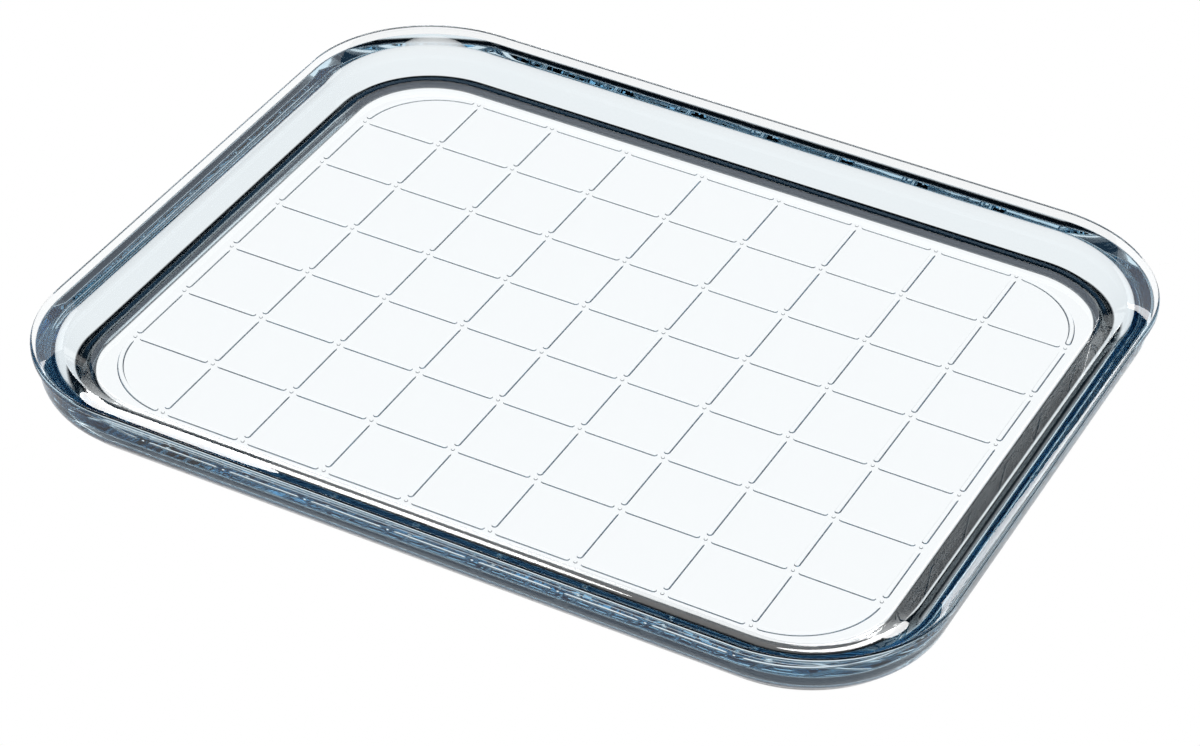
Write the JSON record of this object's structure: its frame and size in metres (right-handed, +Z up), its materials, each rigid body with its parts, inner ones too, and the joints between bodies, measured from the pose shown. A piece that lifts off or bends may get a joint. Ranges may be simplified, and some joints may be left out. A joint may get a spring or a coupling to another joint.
{
  "type": "glass baking tray",
  "caption": "Shallow clear pressed-glass baking tray with round corners, a coved low wall, a thick outward lip and a raised square grid under its flat floor.",
  "frame": {"origin": "middle of the plane that the tray's foot band stands on", "axes": "+X along the long side, +Y along the short side, +Z up out of the tray's open side"},
  "size_m": [0.322, 0.263, 0.0188],
  "materials": {
    "clear_glass": "fire-polished clear glass with a faint blue edge colour"
  },
  "bodies": {
    "root": {"glass_tray": "clear_glass"}
  },
  "joints": []
}
